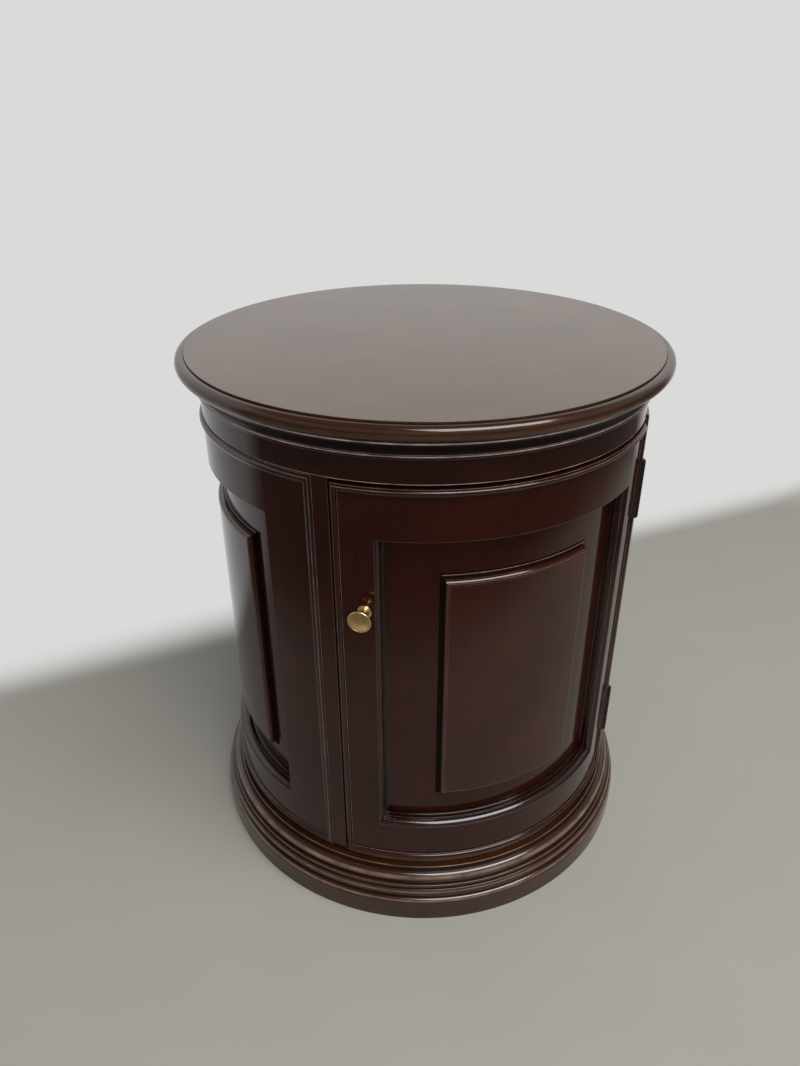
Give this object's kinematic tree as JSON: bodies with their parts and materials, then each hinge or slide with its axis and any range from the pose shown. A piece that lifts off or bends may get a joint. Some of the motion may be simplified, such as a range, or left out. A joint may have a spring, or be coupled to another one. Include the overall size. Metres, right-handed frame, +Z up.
{
  "type": "drum side table",
  "caption": "Round drum side table: a moulded cabinet with curved raised panels, one curved hinged door with a brass knob, a shelf inside and a flat round top.",
  "frame": {"origin": "on the floor, on the drum's axis", "axes": "+Z up along the drum's axis, -Y out through the middle of the door, +X to the door's hinge side"},
  "size_m": [0.5439, 0.544, 0.62],
  "materials": {
    "top_wood": "semi-gloss lacquer over dark stain",
    "body_wood": "semi-gloss lacquer over dark stain",
    "moulding_wood": "semi-gloss lacquer, rubbed at the edges",
    "base_wood": "semi-gloss lacquer over brown stain",
    "inner_wood": "thin matt stain",
    "knob_brass": "antique satin brass",
    "hinge_bronze": "dark bronze",
    "screw_steel": "zinc plated",
    "magnet": "plain"
  },
  "bodies": {
    "cabinet": {"back_panel_edge_bead": "moulding_wood", "back_panel_inner_moulding": "moulding_wood", "back_panel_rail_bottom": "body_wood", "back_panel_rail_top": "body_wood", "back_panel_raised": "body_wood", "back_panel_sheet": "inner_wood", "back_panel_stile_left": "body_wood", "back_panel_stile_right": "body_wood", "base_moulding": "base_wood", "carcass_top": "inner_wood", "catch_magnet": "magnet", "cornice_ring": "body_wood", "door_stop": "inner_wood", "floor_board": "inner_wood", "frieze_ring": "body_wood", "hinge_screws_post": "screw_steel", "left_panel_edge_bead": "moulding_wood", "left_panel_inner_moulding": "moulding_wood", "left_panel_rail_bottom": "body_wood", "left_panel_rail_top": "body_wood", "left_panel_raised": "body_wood", "left_panel_sheet": "inner_wood", "left_panel_stile_left": "body_wood", "left_panel_stile_right": "body_wood", "lower_hinge_pin": "hinge_bronze", "lower_hinge_post_leaf": "hinge_bronze", "plinth_ring": "base_wood", "post_front_left": "body_wood", "post_front_right": "body_wood", "post_rear_left": "body_wood", "post_rear_right": "body_wood", "right_panel_edge_bead": "moulding_wood", "right_panel_inner_moulding": "moulding_wood", "right_panel_rail_bottom": "body_wood", "right_panel_rail_top": "body_wood", "right_panel_raised": "body_wood", "right_panel_sheet": "inner_wood", "right_panel_stile_left": "body_wood", "right_panel_stile_right": "body_wood", "shelf": "inner_wood", "shelf_pegs": "screw_steel", "top_panel": "top_wood", "top_screws": "screw_steel", "upper_hinge_pin": "hinge_bronze", "upper_hinge_post_leaf": "hinge_bronze"},
    "door": {"door_edge_bead": "moulding_wood", "door_inner_moulding": "moulding_wood", "door_rail_bottom": "body_wood", "door_rail_top": "body_wood", "door_raised": "body_wood", "door_sheet": "inner_wood", "door_stile_left": "body_wood", "door_stile_right": "body_wood", "hinge_screws_door": "screw_steel", "knob": "knob_brass", "knob_screw": "screw_steel", "lower_hinge_door_leaf": "hinge_bronze", "strike_disc": "screw_steel", "upper_hinge_door_leaf": "hinge_bronze"}
  },
  "joints": [
    {"name": "door_hinge", "type": "hinge", "parent": "cabinet", "child": "door", "pos_m": [0.17821, -0.17704, 0], "axis": [0, 0, 1], "range_deg": [0, 160]}
  ]
}
